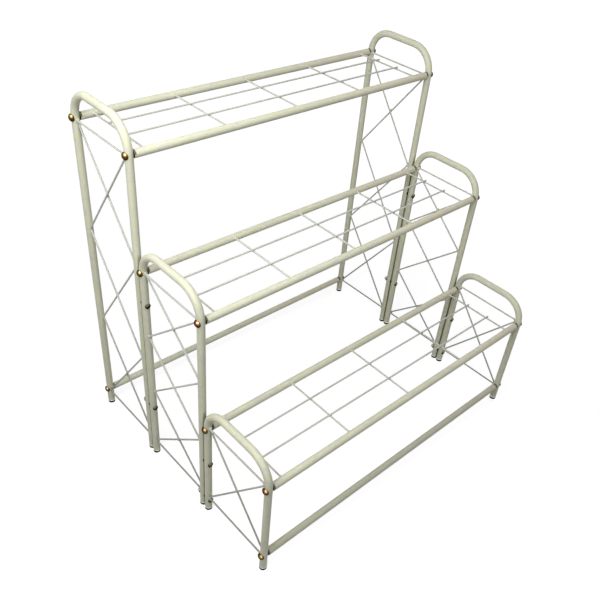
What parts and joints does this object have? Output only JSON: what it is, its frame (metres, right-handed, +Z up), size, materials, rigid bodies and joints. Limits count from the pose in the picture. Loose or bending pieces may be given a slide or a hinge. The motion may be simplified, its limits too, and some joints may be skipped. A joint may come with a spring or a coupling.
{
  "type": "plant rack",
  "caption": "Stepped plant rack of cream painted steel tube and wire: benches of rising height bolted leg to leg, with open wire shelves, bent end guards and zigzag wire braces.",
  "frame": {"origin": "on the floor, under the middle of the rack", "axes": "+X along the shelves, to the right as seen from the low bench; +Y from the low front bench to the tall rear one; +Z up"},
  "size_m": [0.8262, 0.616, 0.811],
  "materials": {
    "cream_paint": "satin",
    "brass_zinc": "satin",
    "black_plastic": "matte",
    "steel": "satin"
  },
  "bodies": {
    "root": {"leg_spacers": "black_plastic", "low_cross_wire_1": "cream_paint", "low_cross_wire_2": "cream_paint", "low_cross_wire_3": "cream_paint", "low_cross_wire_4": "cream_paint", "low_cross_wire_5": "cream_paint", "low_feet": "black_plastic", "low_front_long_wire": "cream_paint", "low_front_rail": "cream_paint", "low_front_stretcher": "cream_paint", "low_left_end_frame": "cream_paint", "low_left_inner_brace_wire": "cream_paint", "low_left_outer_brace_wire": "cream_paint", "low_rear_long_wire": "cream_paint", "low_rear_rail": "cream_paint", "low_right_end_frame": "cream_paint", "low_right_inner_brace_wire": "cream_paint", "low_right_outer_brace_wire": "cream_paint", "lower_joint_bolts": "brass_zinc", "lower_joint_nuts": "steel", "middle_cross_wire_1": "cream_paint", "middle_cross_wire_2": "cream_paint", "middle_cross_wire_3": "cream_paint", "middle_cross_wire_4": "cream_paint", "middle_cross_wire_5": "cream_paint", "middle_feet": "black_plastic", "middle_front_long_wire": "cream_paint", "middle_front_rail": "cream_paint", "middle_left_end_frame": "cream_paint", "middle_left_inner_brace_wire": "cream_paint", "middle_left_outer_brace_wire": "cream_paint", "middle_rear_long_wire": "cream_paint", "middle_rear_rail": "cream_paint", "middle_right_end_frame": "cream_paint", "middle_right_inner_brace_wire": "cream_paint", "middle_right_outer_brace_wire": "cream_paint", "rail_bolts": "brass_zinc", "rail_nuts": "steel", "rail_plugs": "black_plastic", "rivet_nuts": "steel", "tall_cross_wire_1": "cream_paint", "tall_cross_wire_2": "cream_paint", "tall_cross_wire_3": "cream_paint", "tall_cross_wire_4": "cream_paint", "tall_cross_wire_5": "cream_paint", "tall_feet": "black_plastic", "tall_front_long_wire": "cream_paint", "tall_front_rail": "cream_paint", "tall_left_end_frame": "cream_paint", "tall_left_inner_brace_wire": "cream_paint", "tall_left_outer_brace_wire": "cream_paint", "tall_rear_long_wire": "cream_paint", "tall_rear_rail": "cream_paint", "tall_rear_stretcher": "cream_paint", "tall_right_end_frame": "cream_paint", "tall_right_inner_brace_wire": "cream_paint", "tall_right_outer_brace_wire": "cream_paint", "upper_joint_bolts": "brass_zinc"}
  },
  "joints": []
}
